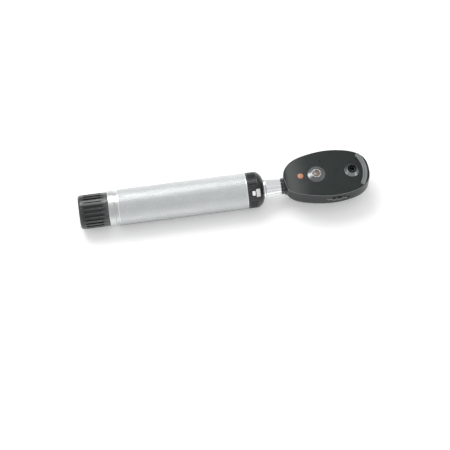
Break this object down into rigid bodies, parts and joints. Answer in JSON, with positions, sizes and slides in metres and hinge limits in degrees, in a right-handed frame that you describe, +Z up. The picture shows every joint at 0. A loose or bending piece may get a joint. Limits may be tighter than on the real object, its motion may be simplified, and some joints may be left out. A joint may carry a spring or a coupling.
{
  "type": "direct ophthalmoscope",
  "caption": "Direct ophthalmoscope: egg-shaped examination head with lens wheel, aperture wheel and sight hole on a knurled battery handle with a rheostat collar.",
  "frame": {"origin": "centre of the footprint of the instrument lying flat on its handle and on the patient's side of its head", "axes": "+X from the base cap to the head along the handle, +Z up out of the examiner's side, +Y to the left seen from the base cap"},
  "size_m": [0.2426, 0.0454, 0.03],
  "materials": {
    "knurled_metal": "fine diamond knurl, satin chrome",
    "polished_metal": "polished",
    "bright_chrome": "bright",
    "black_plastic": "fine satin",
    "head_plastic": "fine grained satin",
    "gloss_black": "gloss",
    "wheel_plastic": "semi gloss",
    "grey_pad": "soft matte",
    "grey_button": "satin",
    "white_mark": "matte paint",
    "copper_inlay": "copper lacquer",
    "seal_rubber": "matte",
    "contact_brass": "bright",
    "spring_steel": "drawn wire",
    "socket_steel": "turned",
    "frame_metal": "black anodised edge",
    "battery_skin": "shrink sleeve",
    "clear_glass": "coated",
    "filter_glass": "green filter",
    "mirror_glass": "front surface mirror",
    "dish_metal": "dark satin anodised"
  },
  "bodies": {
    "handle": {"handle_tube": "knurled_metal", "lower_ring": "polished_metal", "battery_lower": "battery_skin", "battery_upper": "battery_skin", "contact_plate": "contact_brass", "rheostat_core": "black_plastic", "rheostat_track": "contact_brass", "bayonet_socket": "socket_steel", "pin_spring": "spring_steel"},
    "cap_carriage": {"cap_contact": "contact_brass", "cap_spring": "spring_steel"},
    "base_cap": {"base_cap": "black_plastic", "cap_seal": "seal_rubber"},
    "rheostat": {"rheostat_ring": "black_plastic", "rheostat_wiper": "contact_brass", "index_mark": "white_mark", "button_spring": "spring_steel"},
    "lock_button": {"lock_button": "grey_button"},
    "contact_pin": {"contact_pin": "contact_brass"},
    "head": {"bayonet_spigot": "socket_steel", "head_insulator": "black_plastic", "head_contact": "contact_brass", "stop_ring": "bright_chrome", "fluted_sleeve": "bright_chrome", "neck_ring": "gloss_black", "lamp_base": "socket_steel", "lamp_bulb": "clear_glass", "lamp_filament": "spring_steel", "rear_housing": "head_plastic", "front_housing": "head_plastic", "housing_screws": "socket_steel", "brow_rest": "grey_pad", "sight_bezel": "gloss_black", "sight_glass": "clear_glass", "display_bezel": "dish_metal", "display_ring": "polished_metal", "display_window": "clear_glass", "badge_dot": "copper_inlay", "wheel_axle": "socket_steel", "detent_leaf": "spring_steel", "optic_frame": "frame_metal", "condenser_lens": "clear_glass", "aperture_axle": "socket_steel", "objective_tube": "frame_metal", "objective_lens": "clear_glass", "mirror": "mirror_glass", "mirror_holder": "head_plastic", "front_window": "clear_glass", "window_frame": "gloss_black"},
    "lens_wheel": {"lens_wheel": "wheel_plastic", "wheel_lenses": "clear_glass"},
    "aperture_wheel": {"aperture_wheel": "wheel_plastic", "aperture_filters": "filter_glass"}
  },
  "joints": [
    {"name": "cap_slide", "type": "slide", "parent": "handle", "child": "cap_carriage", "axis": [-1, 0, 0], "range_m": [0, 0.0144]},
    {"name": "cap_turn", "type": "hinge", "parent": "cap_carriage", "child": "base_cap", "pos_m": [-0.1213, 0, 0.015], "axis": [-1, 0, 0], "range_deg": [-2160, 2160]},
    {"name": "rheostat_turn", "type": "hinge", "parent": "handle", "child": "rheostat", "pos_m": [0.0253, 0, 0.015], "axis": [1, 0, 0], "range_deg": [0, 120]},
    {"name": "button_press", "type": "slide", "parent": "rheostat", "child": "lock_button", "axis": [0, 0.6428, -0.766], "range_m": [0, 0.0009], "stiffness_N_per_m": 400, "springref_m": -0.0005, "deforming": ["button_spring"]},
    {"name": "pin_press", "type": "slide", "parent": "handle", "child": "contact_pin", "axis": [-1, 0, 0], "range_m": [0, 0.0012], "stiffness_N_per_m": 300, "springref_m": -0.0005, "deforming": ["pin_spring"]},
    {"name": "head_bayonet", "type": "hinge", "parent": "handle", "child": "head", "pos_m": [0.0253, 0, 0.015], "axis": [1, 0, 0], "range_deg": [0, 40]},
    {"name": "lens_dial", "type": "hinge", "parent": "head", "child": "lens_wheel", "pos_m": [0.0907, 0, 0.0194], "axis": [0, 0, 1], "continuous": true, "deforming": ["detent_leaf"]},
    {"name": "aperture_dial", "type": "hinge", "parent": "head", "child": "aperture_wheel", "pos_m": [0.0649, 0, 0.0095], "axis": [1, 0, 0], "continuous": true}
  ],
  "couplings": [
    {"joint": "cap_turn", "follows": "cap_slide", "rad_per_m": 2618}
  ]
}
